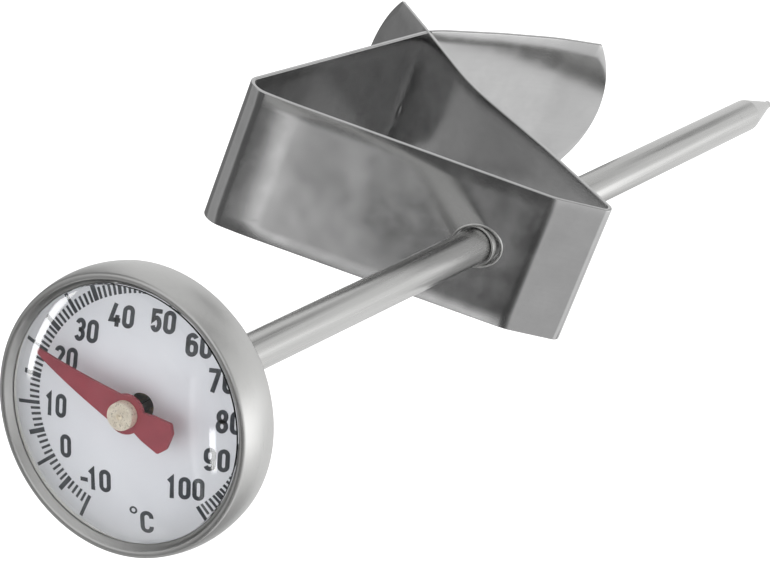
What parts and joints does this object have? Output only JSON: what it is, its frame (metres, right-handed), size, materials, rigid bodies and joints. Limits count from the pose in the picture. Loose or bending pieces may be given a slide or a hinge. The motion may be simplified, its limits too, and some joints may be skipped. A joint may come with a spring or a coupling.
{
  "type": "dial thermometer",
  "caption": "Bimetal dial thermometer: domed round dial head on a long thin pointed stem, with a folded sheet-metal spring clip that slides and turns on the stem.",
  "frame": {"origin": "on the stem's axis at the immersion line, 55 mm from the tip", "axes": "+Y along the stem towards its tip, so the dial faces -Y; +Z is the dial's 12 o'clock; +X is to the right as the dial is read"},
  "size_m": [0.0467, 0.1499, 0.0331],
  "materials": {
    "brushed_stainless": "satin, brushed round the axis",
    "stem_stainless": "satin, drawn lengthways",
    "strip_stainless": "cold-rolled, half bright",
    "spindle_steel": "bright drawn",
    "bimetal": "rolled bimetal ribbon",
    "brass": "turned",
    "crystal_glass": "clear, polished",
    "gasket_rubber": "moulded",
    "spacer_plastic": "moulded",
    "dial_paint": "matt white enamel",
    "pointer_red": "satin red lacquer"
  },
  "bodies": {
    "root": {"bezel_ring": "brushed_stainless", "case_cup": "brushed_stainless", "stem_collar": "brushed_stainless", "stem_tube": "stem_stainless", "stem_tip": "stem_stainless", "crystal": "crystal_glass", "crystal_gasket": "gasket_rubber", "dial_spacer": "spacer_plastic", "dial_plate": "dial_paint", "coil_anchor": "brass", "bimetal_coil": "bimetal", "spindle_guide": "brass", "guide_bush": "brass"},
    "needle": {"pointer": "pointer_red", "pointer_hub": "brass", "spindle": "spindle_steel", "coil_coupling": "brass"},
    "slider": {"clip_eyelet": "strip_stainless"},
    "clip": {"clip_strip": "strip_stainless"}
  },
  "joints": [
    {"name": "pointer_turn", "type": "hinge", "parent": "root", "child": "needle", "pos_m": [0, -0.08955, 0], "axis": [0, 1, 0], "range_deg": [-84.4, 213.2], "stiffness_Nm_per_rad": 0.00002},
    {"name": "clip_slide", "type": "slide", "parent": "root", "child": "slider", "axis": [0, 1, 0], "range_m": [-0.054, 0.054]},
    {"name": "clip_swivel", "type": "hinge", "parent": "slider", "child": "clip", "pos_m": [0, -0.02231, 0], "axis": [0, 1, 0], "continuous": true}
  ]
}
